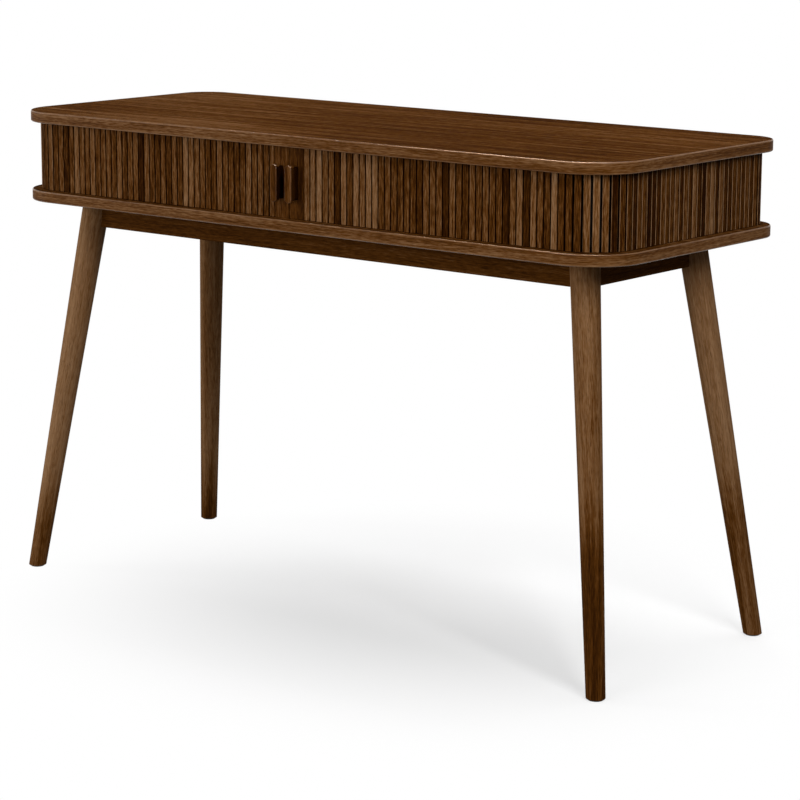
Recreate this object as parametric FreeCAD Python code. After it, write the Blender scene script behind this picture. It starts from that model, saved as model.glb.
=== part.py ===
"""Writing desk with a slatted tambour curtain between two round-cornered panels.

Millimetres, +Z up, X along the desk, the user sits on the -Y side. The origin is on the floor,
under the middle of the desk. Each piece is written to parts/NODE.step.
"""

import FreeCAD
import Part
import math
import os

os.makedirs("parts", exist_ok=True)

Vector = FreeCAD.Vector
UP = Vector(0, 0, 1)

# The desk as a whole
desk_width = 1200.0
desk_depth = 475.0
desk_height = 780.0
front_corner_radius = 85.0
rear_corner_radius = 55.0

# The two panels, each a core with a solid edge band round it
panel_thickness = 18.0
opening_height = 112.0
band_thickness = 3.0
arris_radius = 2.0

# The track: one groove in each panel, all the way round
curtain_inset = 16.0
groove_depth = 7.0
groove_clearance = 0.6

# The slats of the curtain and the canvas that joins their backs
slat_pitch = 12.15
slat_gap = 2.4
slat_thickness = 8.0
slat_bevel = 0.5
shoulder_gap = 1.0
tongue_thickness = 5.0
tongue_length = 6.0
canvas_thickness = 0.8
canvas_margin = 8.0
tail_slat_count = 2

# The lead stile of each door, with its pull
meeting_gap = 1.5
stile_width = 28.25
stile_thickness = 12.0
stile_lap = 8.0
door_travel = 480.0
stop_pin_radius = 2.5
stop_pin_grip = 6.0
stop_clearance = 0.3

# The pull: a lip on a narrower neck, with round ends
pull_width = 13.5
pull_height = 58.0
pull_depth = 21.0
pull_lip = 9.0
pull_undercut = 3.5
pull_edge_radius = 1.6
pull_screw_spacing = 30.0
pull_screw_radius = 1.5
pull_screw_head_radius = 3.0
pull_screw_head_depth = 2.0
pull_screw_grip = 15.0

# The fixed panel behind the curtain's back run
back_thickness = 9.0
back_inset = 4.0
back_overlap = 5.0
housing_depth = 4.0

# The inner case that keeps the load off the curtain
wall_thickness = 15.0
wall_clearance = 7.0
wall_corner_clearance = 3.0
divider_setback = 9.0

# The frame under the lower panel
apron_thickness = 18.0
apron_height = 46.0
joint_clearance = 0.2

# The legs: round, tapered, leaning out to the side and to the front or back
leg_top_inset_x = 105.0
leg_top_inset_y = 97.0
leg_foot_inset_x = 19.0
leg_foot_inset_y = 22.0
leg_top_radius = 22.6
leg_foot_radius = 14.5
leg_overrun = 40.0
glide_thickness = 2.0
glide_radius = 11.0
glide_pin_radius = 1.5
glide_pin_length = 12.0

# The corner blocks and what holds the legs to them
block_height = 32.0
block_width = 22.0
block_clearance = 3.4
hanger_radius = 4.0
hanger_grip = 21.0
hanger_stand_out = 12.0
washer_radius = 10.0
washer_thickness = 1.6
nut_width = 13.0
nut_thickness = 6.5

# Screws and dowels
dowel_radius = 4.0
top_dowel_length = 32.0
top_dowel_grip = 10.0
rail_dowel_length = 30.0
rail_dowel_drop = 32.0
rail_dowel_offset = 10.0
screw_radius = 2.25
screw_head_radius = 4.0
screw_head_depth = 2.4
wall_screw_length = 50.0
block_screw_length = 44.0
fastener_margin = 60.0
wall_fastener_count = 3
rear_fastener_count = 4
fastener_clearance = 0.05
hole_end_clearance = 0.5

# Worked out from the sizes above
half_width = desk_width / 2
half_depth = desk_depth / 2
top_low = desk_height - panel_thickness
shelf_high = top_low - opening_height
shelf_low = shelf_high - panel_thickness
middle_z = (top_low + shelf_high) / 2
front_tangent_x = half_width - front_corner_radius
front_tangent_y = half_depth - front_corner_radius
rear_tangent_x = half_width - rear_corner_radius
rear_tangent_y = half_depth - rear_corner_radius
curtain_x = half_width - curtain_inset
curtain_y = half_depth - curtain_inset
tongue_inset = (slat_thickness - tongue_thickness) / 2
canvas_inset = curtain_inset + slat_thickness
run_start = meeting_gap / 2 + stile_width
tail_start_x = rear_tangent_x - tail_slat_count * slat_pitch
wall_inset = canvas_inset + canvas_thickness + wall_clearance
leg_top_x = half_width - leg_top_inset_x
leg_top_y = half_depth - leg_top_inset_y
leg_foot_x = half_width - leg_foot_inset_x
leg_foot_y = half_depth - leg_foot_inset_y


def export(node, solids):
    """Write one node: a single solid, or a group of separate solids."""
    shape = Part.makeCompound(solids) if isinstance(solids, list) else solids
    shape.exportStep("parts/" + node + ".step")


def mirrored(solids):
    """The same pieces on the other side of the desk's middle."""
    origin = Vector(0, 0, 0)
    return [solid.mirror(origin, Vector(1, 0, 0)) for solid in solids]


def box(low_x, high_x, low_y, high_y, low_z, high_z):
    """A box between the given faces."""
    corner = Vector(low_x, low_y, low_z)
    return Part.makeBox(high_x - low_x, high_y - low_y, high_z - low_z, corner)


def prism(points, low_z, high_z):
    """An upright prism on a polygon given as x, y pairs."""
    corners = [Vector(x, y, low_z) for x, y in points]
    outline = Part.makePolygon(corners + corners[:1])
    return Part.Face(outline).extrude(UP * (high_z - low_z))


def rod(start, direction, length, radius):
    """A round rod from a point, along a direction."""
    return Part.makeCylinder(radius, length, start, direction)


def spread(low, high, count):
    """Evenly spaced places from low to high, both ends included."""
    step = (high - low) / (count - 1)
    return [low + step * index for index in range(count)]


def turned(shape, angle, x, y):
    """A copy turned about the vertical through the origin, then moved to x, y."""
    copy = shape.copy()
    copy.rotate(Vector(0, 0, 0), UP, angle)
    copy.translate(Vector(x, y, 0))
    return copy


# Round-cornered plates and rings


def plate(inset, low_z, high_z):
    """A plate with the desk's outline, set in by the same distance all round."""
    rear = rear_corner_radius - inset
    front = front_corner_radius - inset
    edges = []
    corners = [
        (rear_tangent_x, rear_tangent_y, rear),
        (-rear_tangent_x, rear_tangent_y, rear),
        (-front_tangent_x, -front_tangent_y, front),
        (front_tangent_x, -front_tangent_y, front),
    ]
    for quarter, (x, y, radius) in enumerate(corners):
        start = math.radians(90 * quarter)
        circle = Part.Circle(Vector(x, y, low_z), UP, radius)
        edges.append(Part.Arc(circle, start, start + math.pi / 2).toShape())
    joined = []
    for index, arc in enumerate(edges):
        following = edges[(index + 1) % len(edges)]
        joined.append(arc)
        joined.append(Part.LineSegment(arc.lastVertex().Point, following.firstVertex().Point).toShape())
    outline = Part.Wire(joined)
    return Part.Face(outline).extrude(UP * (high_z - low_z))


def ring(outer_inset, inner_inset, low_z, high_z):
    """The strip between two insets of the desk's outline."""
    return plate(outer_inset, low_z, high_z).cut(plate(inner_inset, low_z, high_z))


def edge_band(low_z):
    """The solid band round a panel, with its outer arrises rounded."""
    high_z = low_z + panel_thickness
    outer = plate(0, low_z, high_z)
    level_edges = [edge for edge in outer.Edges if edge.BoundBox.ZLength < 0.001]
    rounded = outer.makeFillet(arris_radius, level_edges)
    return rounded.cut(plate(band_thickness, low_z, high_z))


def track_groove(low_z, high_z):
    """What the track takes out of a panel."""
    outer = curtain_inset + tongue_inset - groove_clearance
    inner = outer + tongue_thickness + 2 * groove_clearance
    return ring(outer, inner, low_z, high_z)


# The curtain


def slat():
    """One slat at the origin: outer face on y = 0, tongues at both ends."""
    half = (slat_pitch - slat_gap) / 2
    low = shelf_high + shoulder_gap
    high = top_low - shoulder_gap
    outline = [
        (-half, slat_thickness),
        (-half, slat_bevel),
        (-half + slat_bevel, 0),
        (half - slat_bevel, 0),
        (half, slat_bevel),
        (half, slat_thickness),
    ]
    body = prism(outline, low, high)
    inner = tongue_inset + tongue_thickness
    lower_tongue = box(-half, half, tongue_inset, inner, shelf_high - tongue_length, low)
    upper_tongue = box(-half, half, tongue_inset, inner, high, top_low + tongue_length)
    return body.fuse([lower_tongue, upper_tongue]).removeSplitter()


def straight_slats(start, length, place):
    """Slats along a straight stretch; place(slat, distance) puts one there."""
    count = round(length / slat_pitch)
    step = length / count
    pattern = slat()
    return [place(pattern, start + (index + 0.5) * step) for index in range(count)]


def corner_slats(first_angle, radius, centre_x, centre_y):
    """Slats round one corner of the desk, from first_angle over a quarter turn."""
    arc = (radius - canvas_inset) * math.pi / 2
    count = round(arc / slat_pitch)
    pattern = slat()
    solids = []
    for index in range(count):
        angle = first_angle + (index + 0.5) * 90 / count
        slat_x = centre_x + (radius - curtain_inset) * math.sin(math.radians(angle))
        slat_y = centre_y - (radius - curtain_inset) * math.cos(math.radians(angle))
        solids.append(turned(pattern, angle, slat_x, slat_y))
    return solids


def front_run():
    """The right-hand front slats, from the lead stile to the corner."""
    length = front_tangent_x - run_start
    return straight_slats(run_start, length, lambda piece, x: turned(piece, 0, x, -curtain_y))


def side_run():
    """The slats along the right-hand side."""
    start = -front_tangent_y
    length = rear_tangent_y - start
    return straight_slats(start, length, lambda piece, y: turned(piece, 90, curtain_x, y))


def tail_run():
    """The last slats of the right-hand curtain, past the rear corner."""
    length = rear_tangent_x - tail_start_x
    return straight_slats(tail_start_x, length, lambda piece, x: turned(piece, 180, x, curtain_y))


def front_canvas():
    """The canvas behind the right-hand front slats, lapped behind the stile."""
    back = -curtain_y + slat_thickness
    low = shelf_high + canvas_margin
    high = top_low - canvas_margin
    return box(run_start - stile_lap, front_tangent_x, back, back + canvas_thickness, low, high)


def side_canvas():
    """The canvas from the front corner round the side to the tail."""
    low = shelf_high + canvas_margin
    high = top_low - canvas_margin
    strip = ring(canvas_inset, canvas_inset + canvas_thickness, low, high)
    front_half = box(front_tangent_x, half_width, -half_depth, 0, low, high)
    rear_half = box(tail_start_x, half_width, 0, half_depth, low, high)
    return strip.common(front_half.fuse(rear_half)).removeSplitter()


# The lead stile and its pull


def pull_screw_places():
    """Where the two screws of the right-hand pull go: x, z pairs."""
    x = meeting_gap / 2 + stile_width / 2
    return [(x, middle_z - pull_screw_spacing / 2), (x, middle_z + pull_screw_spacing / 2)]


def pull_screw(x, z, clearance):
    """One pull screw, from the back of the stile into the pull's neck."""
    head_y = -curtain_y + stile_thickness
    start = Vector(x, head_y, z)
    forward = Vector(0, -1, 0)
    length = stile_thickness + pull_screw_grip + clearance
    narrow = pull_screw_radius + clearance
    wide = pull_screw_head_radius + clearance
    shank = rod(start, forward, length, narrow)
    head = Part.makeCone(wide, narrow, pull_screw_head_depth, start, forward)
    return shank.fuse(head).removeSplitter()


def lead_stile():
    """The wide first member of the right-hand curtain."""
    low_x = meeting_gap / 2
    high_x = low_x + stile_width
    face = -curtain_y
    low = shelf_high + shoulder_gap
    high = top_low - shoulder_gap
    body = box(low_x, high_x, face, face + stile_thickness, low, high)
    front_edges = []
    for edge in body.Edges:
        if edge.BoundBox.ZLength > opening_height / 2 and edge.BoundBox.YMax < face + slat_bevel:
            front_edges.append(edge)
    body = body.makeChamfer(slat_bevel, front_edges)
    lap = box(high_x - stile_lap, high_x, face + slat_thickness, face + stile_thickness, low, high)
    tongue_x = stop_pin_radius + stop_clearance
    tongue_y = face + tongue_inset
    tongue_low = shelf_high - tongue_length
    tongue_high = top_low + tongue_length
    tongue = box(tongue_x, high_x, tongue_y, tongue_y + tongue_thickness, tongue_low, tongue_high)
    stile = body.cut(lap).fuse(tongue).removeSplitter()
    for x, z in pull_screw_places():
        stile = stile.cut(pull_screw(x, z, fastener_clearance))
    return stile


def stadium(x, width, tall, back_y, front_y):
    """A bar with round ends, standing upright, from back_y forward to front_y."""
    radius = width / 2
    low = middle_z - tall / 2 + radius
    high = middle_z + tall / 2 - radius
    forward = Vector(0, -1, 0)
    length = back_y - front_y
    lower_end = rod(Vector(x, back_y, low), forward, length, radius)
    upper_end = rod(Vector(x, back_y, high), forward, length, radius)
    middle = box(x - radius, x + radius, front_y, back_y, low, high)
    return middle.fuse([lower_end, upper_end]).removeSplitter()


def pull():
    """The right-hand pull: a rounded lip that overhangs its neck all round."""
    x = meeting_gap / 2 + stile_width / 2
    face = -curtain_y
    front = face - pull_depth
    lip_back = front + pull_lip
    lip = stadium(x, pull_width, pull_height, lip_back, front)
    lip = lip.makeFillet(pull_edge_radius, lip.Edges)
    neck = stadium(x, pull_width - 2 * pull_undercut, pull_height - 2 * pull_undercut, face, lip_back)
    solid = lip.fuse(neck).removeSplitter()
    for screw_x, z in pull_screw_places():
        solid = solid.cut(pull_screw(screw_x, z, fastener_clearance))
    return solid


def pull_screws():
    """The two screws of the right-hand pull."""
    return [pull_screw(x, z, 0) for x, z in pull_screw_places()]


def stop_pins():
    """Pins across the track: one where the doors meet, one at the end of each tail's run."""
    track_y = curtain_y - tongue_inset - tongue_thickness / 2
    tail_x = tail_start_x - door_travel - stop_pin_radius - stop_clearance
    length = groove_depth + stop_pin_grip
    pins = []
    for x, y in [(0, -track_y), (tail_x, track_y), (-tail_x, track_y)]:
        for start in [shelf_high - length, top_low]:
            pins.append(rod(Vector(x, y, start), UP, length, stop_pin_radius))
    return pins


# The inner case


def corner_reach(radius):
    """How far past a corner's tangent a side wall may run towards the curtain."""
    free_radius = radius - canvas_inset - canvas_thickness - wall_corner_clearance
    offset = radius - wall_inset
    return math.sqrt(free_radius**2 - offset**2)


wall_outer_x = half_width - wall_inset
wall_x = wall_outer_x - wall_thickness / 2
wall_low_y = -front_tangent_y - corner_reach(front_corner_radius)
wall_high_y = rear_tangent_y + corner_reach(rear_corner_radius)
rear_wall_y = wall_high_y - wall_thickness / 2
divider_front_y = -(half_depth - canvas_inset - canvas_thickness - divider_setback)
divider_back_y = wall_high_y - wall_thickness


def wall_places():
    """The fastener places of the inner case, as x, y pairs, for each of its walls."""
    side_y = spread(wall_low_y + fastener_margin, wall_high_y - fastener_margin, wall_fastener_count)
    reach_x = wall_x - fastener_margin
    rear_x = spread(-reach_x, reach_x, rear_fastener_count)
    divider_low_y = divider_front_y + fastener_margin
    divider_high_y = divider_back_y - fastener_margin
    divider_y = spread(divider_low_y, divider_high_y, wall_fastener_count)
    return {
        "left_inner_wall": [(-wall_x, y) for y in side_y],
        "right_inner_wall": [(wall_x, y) for y in side_y],
        "inner_rear_wall": [(x, rear_wall_y) for x in rear_x],
        "centre_divider": [(0, y) for y in divider_y],
    }


def wood_screw(x, y, head_z, length, clearance):
    """A countersunk screw driven upwards, its head flush at head_z."""
    start = Vector(x, y, head_z)
    narrow = screw_radius + clearance
    wide = screw_head_radius + clearance
    shank = rod(start, UP, length + clearance, narrow)
    head = Part.makeCone(wide, narrow, screw_head_depth, start, UP)
    return shank.fuse(head).removeSplitter()


def wall_screw(x, y, clearance=0):
    """A screw through the lower panel into a wall."""
    return wood_screw(x, y, shelf_low, wall_screw_length, clearance)


def top_dowel(x, y, clearance=0, extra=0):
    """A dowel from a wall into the top; extra deepens both ends of its hole."""
    low = top_low + top_dowel_grip - top_dowel_length
    return rod(Vector(x, y, low - extra), UP, top_dowel_length + 2 * extra, dowel_radius + clearance)


def inner_case():
    """The walls between the panels, bored for their screws and dowels."""
    low_y = wall_low_y
    high_y = wall_high_y
    inner_x = wall_outer_x - wall_thickness
    solids = {
        "right_inner_wall": box(inner_x, wall_outer_x, low_y, high_y, shelf_high, top_low),
        "left_inner_wall": box(-wall_outer_x, -inner_x, low_y, high_y, shelf_high, top_low),
        "inner_rear_wall": box(-inner_x, inner_x, divider_back_y, high_y, shelf_high, top_low),
        "centre_divider": box(
            -wall_thickness / 2, wall_thickness / 2, divider_front_y, divider_back_y, shelf_high, top_low
        ),
    }
    for name, places in wall_places().items():
        for x, y in places:
            solids[name] = solids[name].cut(wall_screw(x, y, fastener_clearance))
            solids[name] = solids[name].cut(top_dowel(x, y, fastener_clearance, hole_end_clearance))
    return solids


def all_wall_places():
    """Every fastener place of the inner case in one list."""
    return [place for places in wall_places().values() for place in places]


def back_panel():
    """The fixed panel outside the curtain's back run, housed in both panels."""
    half = rear_tangent_x + back_overlap
    high_y = half_depth - back_inset
    low_z = shelf_high - housing_depth
    high_z = top_low + housing_depth
    return box(-half, half, high_y - back_thickness, high_y, low_z, high_z)


# Legs and frame


def leg_axis_point(sign_x, sign_y, z):
    """A point on a leg's centre line at height z."""
    share = z / shelf_low
    x = leg_foot_x + (leg_top_x - leg_foot_x) * share
    y = leg_foot_y + (leg_top_y - leg_foot_y) * share
    return Vector(sign_x * x, sign_y * y, z)


def leg_cone(sign_x, sign_y, clearance):
    """The leg's taper, longer than the leg at both ends."""
    foot = leg_axis_point(sign_x, sign_y, 0)
    top = leg_axis_point(sign_x, sign_y, shelf_low)
    direction = top.sub(foot)
    length = direction.Length
    direction.normalize()
    taper = (leg_top_radius - leg_foot_radius) / length
    low_radius = leg_foot_radius - taper * leg_overrun + clearance
    high_radius = leg_top_radius + taper * leg_overrun + clearance
    start = foot.sub(direction * leg_overrun)
    return Part.makeCone(low_radius, high_radius, length + 2 * leg_overrun, start, direction)


def hanger_bolt(sign_x, sign_y, clearance=0):
    """The bolt from inside a leg through its corner block."""
    centre = leg_axis_point(sign_x, sign_y, shelf_low - block_height / 2)
    inward = Vector(-sign_x, -sign_y, 0).normalize()
    start_distance = leg_top_radius - hanger_grip
    end_distance = block_face_distance() + block_width + hanger_stand_out
    start = centre.add(inward * start_distance)
    return rod(start, inward, end_distance - start_distance, hanger_radius + clearance)


def block_face_distance():
    """From a leg's centre line to the near face of its corner block, along the diagonal."""
    return leg_top_radius + block_clearance


def rail_dowel(sign_x, sign_y, along_x, clearance=0, extra=0):
    """A dowel between a leg and a rail; along_x for the front or back rail."""
    centre = leg_axis_point(sign_x, sign_y, shelf_low - rail_dowel_drop)
    if along_x:
        inward = Vector(-sign_x, 0, 0)
        centre.y = sign_y * leg_top_y
    else:
        inward = Vector(0, -sign_y, 0)
        centre.x = sign_x * leg_top_x
    start = centre.add(inward * (rail_dowel_offset - extra))
    return rod(start, inward, rail_dowel_length + 2 * extra, dowel_radius + clearance)


def leg(sign_x, sign_y):
    """One leg, cut level under the lower panel and above its glide."""
    slab = box(-half_width, half_width, -half_depth, half_depth, glide_thickness, shelf_low)
    solid = leg_cone(sign_x, sign_y, 0).common(slab)
    solid = solid.cut(hanger_bolt(sign_x, sign_y, fastener_clearance))
    for along_x in [True, False]:
        solid = solid.cut(rail_dowel(sign_x, sign_y, along_x, fastener_clearance, hole_end_clearance))
    return solid.cut(glide_pin(sign_x, sign_y, fastener_clearance))


def glide_pin(sign_x, sign_y, clearance):
    """The pin that holds a glide in the end of a leg."""
    foot = leg_axis_point(sign_x, sign_y, glide_thickness)
    return rod(foot, UP, glide_pin_length + clearance, glide_pin_radius + clearance)


def glide(sign_x, sign_y):
    """A thin glide under a leg, with its pin."""
    foot = leg_axis_point(sign_x, sign_y, glide_thickness)
    disc = rod(Vector(foot.x, foot.y, 0), UP, glide_thickness, glide_radius)
    return disc.fuse(glide_pin(sign_x, sign_y, 0)).removeSplitter()


def apron(along_x, sign):
    """One rail of the frame, scooped at both ends to fit round its legs."""
    half = apron_thickness / 2
    low = shelf_low - apron_height
    if along_x:
        line = sign * leg_top_y
        solid = box(-leg_top_x, leg_top_x, line - half, line + half, low, shelf_low)
        corners = [(-1, sign), (1, sign)]
    else:
        line = sign * leg_top_x
        solid = box(line - half, line + half, -leg_top_y, leg_top_y, low, shelf_low)
        corners = [(sign, -1), (sign, 1)]
    for sign_x, sign_y in corners:
        solid = solid.cut(leg_cone(sign_x, sign_y, joint_clearance))
        solid = solid.cut(rail_dowel(sign_x, sign_y, along_x, fastener_clearance, hole_end_clearance))
    return solid


def corner_block(sign_x, sign_y):
    """The block across a corner of the frame, between the two rails."""
    half = apron_thickness / 2
    near = block_face_distance() * math.sqrt(2)
    far = (block_face_distance() + block_width) * math.sqrt(2)
    inward_steps = [(half, near - half), (near - half, half), (far - half, half), (half, far - half)]
    points = [(sign_x * (leg_top_x - u), sign_y * (leg_top_y - v)) for u, v in inward_steps]
    solid = prism(points, shelf_low - block_height, shelf_low)
    solid = solid.cut(hanger_bolt(sign_x, sign_y, fastener_clearance))
    for x, y in block_screw_places(sign_x, sign_y):
        solid = solid.cut(block_screw(x, y, fastener_clearance))
    return solid


def block_screw_places(sign_x, sign_y):
    """Two screws in each block, one on each side of its bolt."""
    middle = block_face_distance() + block_width / 2
    along = middle / 2
    places = []
    for side in [-1, 1]:
        u = (middle + side * along) / math.sqrt(2)
        v = (middle - side * along) / math.sqrt(2)
        places.append((sign_x * (leg_top_x - u), sign_y * (leg_top_y - v)))
    return places


def block_screw(x, y, clearance=0):
    """A screw up through a corner block into the lower panel."""
    return wood_screw(x, y, shelf_low - block_height, block_screw_length, clearance)


def washer_and_nut(sign_x, sign_y):
    """The washer and the nut on the inner face of a corner block."""
    centre = leg_axis_point(sign_x, sign_y, shelf_low - block_height / 2)
    top = leg_axis_point(sign_x, sign_y, shelf_low)
    inward = Vector(-sign_x, -sign_y, 0).normalize()
    lean = Vector(centre.x - top.x, centre.y - top.y, 0).dot(inward)
    face = block_face_distance() + block_width - lean
    start = centre.add(inward * face)
    bore = hanger_bolt(sign_x, sign_y, fastener_clearance)
    washer = rod(start, inward, washer_thickness, washer_radius).cut(bore)
    points = []
    side = Vector(-inward.y, inward.x, 0)
    seat = start.add(inward * washer_thickness)
    for corner in range(7):
        angle = math.radians(60 * corner)
        radius = nut_width / math.sqrt(3)
        points.append(seat.add(side * (radius * math.cos(angle))).add(UP * (radius * math.sin(angle))))
    nut = Part.Face(Part.makePolygon(points)).extrude(inward * nut_thickness).cut(bore)
    return washer, nut


# The panels, cut for the track, the back panel and every fastener

shelf_tools = [track_groove(shelf_high - groove_depth, shelf_high), back_panel()]
top_tools = [track_groove(top_low, top_low + groove_depth), back_panel()]
for hole_x, hole_y in all_wall_places():
    shelf_tools.append(wall_screw(hole_x, hole_y, fastener_clearance))
    top_tools.append(top_dowel(hole_x, hole_y, fastener_clearance, hole_end_clearance))
corners = [(-1, -1), (1, -1), (-1, 1), (1, 1)]
for corner_x, corner_y in corners:
    for hole_x, hole_y in block_screw_places(corner_x, corner_y):
        shelf_tools.append(block_screw(hole_x, hole_y, fastener_clearance))
pins = stop_pins()
export("top_panel", plate(band_thickness, top_low, desk_height).cut(top_tools + pins))
export("top_edge_band", edge_band(top_low))
export("bottom_panel", plate(band_thickness, shelf_low, shelf_high).cut(shelf_tools + pins))
export("bottom_edge_band", edge_band(shelf_low))
export("track_stop_pins", pins)
export("back_panel", back_panel())

# The inner case and its fasteners

for name, solid in inner_case().items():
    export(name, solid)
export("wall_screws", [wall_screw(x, y) for x, y in all_wall_places()])
export("wall_dowels", [top_dowel(x, y) for x, y in all_wall_places()])

# The frame and the legs

export("front_apron", apron(True, -1))
export("rear_apron", apron(True, 1))
export("left_apron", apron(False, -1))
export("right_apron", apron(False, 1))
names = ["front_left", "front_right", "rear_left", "rear_right"]
bolts = []
washers = []
nuts = []
dowels = []
screws = []
for name, (corner_x, corner_y) in zip(names, corners):
    export(name + "_leg", leg(corner_x, corner_y))
    export(name + "_corner_block", corner_block(corner_x, corner_y))
    export(name + "_glide", glide(corner_x, corner_y))
    corner_washer, corner_nut = washer_and_nut(corner_x, corner_y)
    bolts.append(hanger_bolt(corner_x, corner_y))
    washers.append(corner_washer)
    nuts.append(corner_nut)
    dowels += [rail_dowel(corner_x, corner_y, True), rail_dowel(corner_x, corner_y, False)]
    screws += [block_screw(x, y) for x, y in block_screw_places(corner_x, corner_y)]
export("hanger_bolts", bolts)
export("hanger_washers", washers)
export("hanger_nuts", nuts)
export("rail_dowels", dowels)
export("block_screws", screws)

# The two curtains, the left one a mirror image of the right one

curtain = {
    "lead_stile": [lead_stile()],
    "pull": [pull()],
    "pull_screws": pull_screws(),
    "front_slats": front_run(),
    "front_canvas": [front_canvas()],
    "front_corner_slats": corner_slats(0, front_corner_radius, front_tangent_x, -front_tangent_y),
    "side_slats": side_run(),
    "rear_corner_slats": corner_slats(90, rear_corner_radius, rear_tangent_x, rear_tangent_y) + tail_run(),
    "side_canvas": [side_canvas()],
}
for name, solids in curtain.items():
    export("right_" + name, solids)
    export("left_" + name, mirrored(solids))
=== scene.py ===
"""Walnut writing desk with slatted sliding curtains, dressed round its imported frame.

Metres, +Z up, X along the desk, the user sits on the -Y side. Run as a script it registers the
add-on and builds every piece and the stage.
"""

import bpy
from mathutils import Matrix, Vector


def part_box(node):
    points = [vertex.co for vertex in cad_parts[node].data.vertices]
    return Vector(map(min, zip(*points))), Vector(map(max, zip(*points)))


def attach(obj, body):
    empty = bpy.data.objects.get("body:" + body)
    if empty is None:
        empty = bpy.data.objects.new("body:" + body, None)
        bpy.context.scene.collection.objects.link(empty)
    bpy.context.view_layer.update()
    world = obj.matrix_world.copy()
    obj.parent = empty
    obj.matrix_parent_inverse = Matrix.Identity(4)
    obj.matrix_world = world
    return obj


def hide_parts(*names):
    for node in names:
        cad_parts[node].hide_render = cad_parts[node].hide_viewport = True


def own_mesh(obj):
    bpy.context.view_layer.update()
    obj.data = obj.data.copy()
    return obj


bl_info = {
    "name": "Tambour Desk",
    "version": (1, 0, 0),
    "blender": (4, 5, 0),
    "location": "3D View > Sidebar > Desk",
    "description": "Builds a walnut desk with slatted sliding curtains round its packed frame",
    "category": "Add Mesh",
}

import math
import random

import bmesh
import bpy
from mathutils import Matrix, Vector

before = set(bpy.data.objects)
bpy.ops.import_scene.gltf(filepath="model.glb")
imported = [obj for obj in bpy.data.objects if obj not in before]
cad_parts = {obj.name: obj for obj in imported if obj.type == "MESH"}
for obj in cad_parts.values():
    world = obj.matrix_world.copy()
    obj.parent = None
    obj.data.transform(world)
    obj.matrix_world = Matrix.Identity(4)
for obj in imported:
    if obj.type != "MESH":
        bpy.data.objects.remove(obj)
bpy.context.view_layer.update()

IMAGE_WIDTH = 800
SENSOR_WIDTH = 36.0
MILLIMETRE = 0.001
# Two lengths that differ by less are taken as the same
NEAR = 0.1 * MILLIMETRE

# Read from the frame
BAND_LOW, BAND_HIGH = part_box("top_edge_band")
HALF_WIDTH, HALF_DEPTH = BAND_HIGH.x, BAND_HIGH.y
TOP_LOW, TOP_HIGH = BAND_LOW.z, BAND_HIGH.z
SHELF_LOW, SHELF_HIGH = (corner.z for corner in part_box("bottom_edge_band"))
CURTAIN_Y = -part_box("right_front_slats")[0].y
CURTAIN_INSET = HALF_DEPTH - CURTAIN_Y
SLAT_LOW, SLAT_HIGH = (corner.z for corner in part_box("right_front_slats"))
RUN_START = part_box("right_lead_stile")[1].x
PULL_LOW, PULL_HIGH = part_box("right_pull")
SIDES = {"left": -1, "right": 1}
CORNERS = {
    "front_left": (-1, -1),
    "front_right": (1, -1),
    "rear_left": (-1, 1),
    "rear_right": (1, 1),
}

# Straight steps in each round corner of a panel and of a pull, and all round a leg
CORNER_STEPS = 40
PULL_STEPS = 16
LEG_STEPS = 96
# Straight steps across a rounded edge, and across one that catches the light
EDGE_STEPS = 3
RIM_STEPS = 5
# A face whose normal comes this near an axis looks along it
SQUARE_ON = 0.9
# The same for the flat face of a slat or pull, without its rounded edge
FACE_ON = 0.95
# Edges that turn by more stay sharp
SHARP_ANGLE = math.radians(35)
# Which part of one long piece of timber the pieces are cut from, in metres
TOP_CUT = 16.3
SHELF_CUT = 7.7
CASE_CUT = 11.0
RAIL_CUTS = {"front": (21.0, 0.0), "rear": (22.0, 2.0), "left": (23.0, 4.0), "right": (24.0, 6.0)}
PULL_CUTS = {"left": -2.0, "right": 2.0}
LEG_CUT = Vector((3.0, 5.0, 1.7))
# Each lead stile's own cut and tone
STILES = {"left": (4.0, 0.0), "right": (6.0, -0.05)}
# Painted shade on the upright sides of the pulls, the left one's darkest, standing in for the shadow where
# it faces the other pull
PULL_SIDE_PAINTED_SHADE = {"left": -0.34, "right": -0.16}
# Painted shade on each pull's neck, in the recess under its lip
PULL_NECK_PAINTED_SHADE = -0.30
# Each leg's own tone, partly painted light for how brightly that leg is lit, and the height up to which
# painted shade darkens it near the floor
LEG_TONES_AND_LIGHT = {
    "front_left": (0.095, 0.075),
    "front_right": (0.0, 0.20),
    "rear_left": (0.02, 0.02),
    "rear_right": (0.085, 0.19),
}
# Above that height the painted shade fades out over this much more
FOOT_FADE = 0.10
# How much longer than needed a leg is turned, before its ends are cut level
LEG_SPARE = 0.04
# How far a slat may stand out of true, in degrees
SLAT_LEAN = 0.7
# Metres of timber, along and across its grain, that the slats are cut from
SLAT_TIMBER = (40, 4, 4)


def length(name, description, default):
    """A size that the user can change, in metres."""
    return bpy.props.FloatProperty(
        name=name, description=description, default=default, unit="LENGTH", precision=4
    )


def share(name, description, default, high=1.0):
    """A plain number that the user can change."""
    return bpy.props.FloatProperty(
        name=name, description=description, default=default, min=0.0, max=high
    )


def tint(name, description, default):
    """A colour that the user can change, linear."""
    return bpy.props.FloatVectorProperty(
        name=name, description=description, default=default, subtype="COLOR", min=0.0, max=1.0
    )


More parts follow.
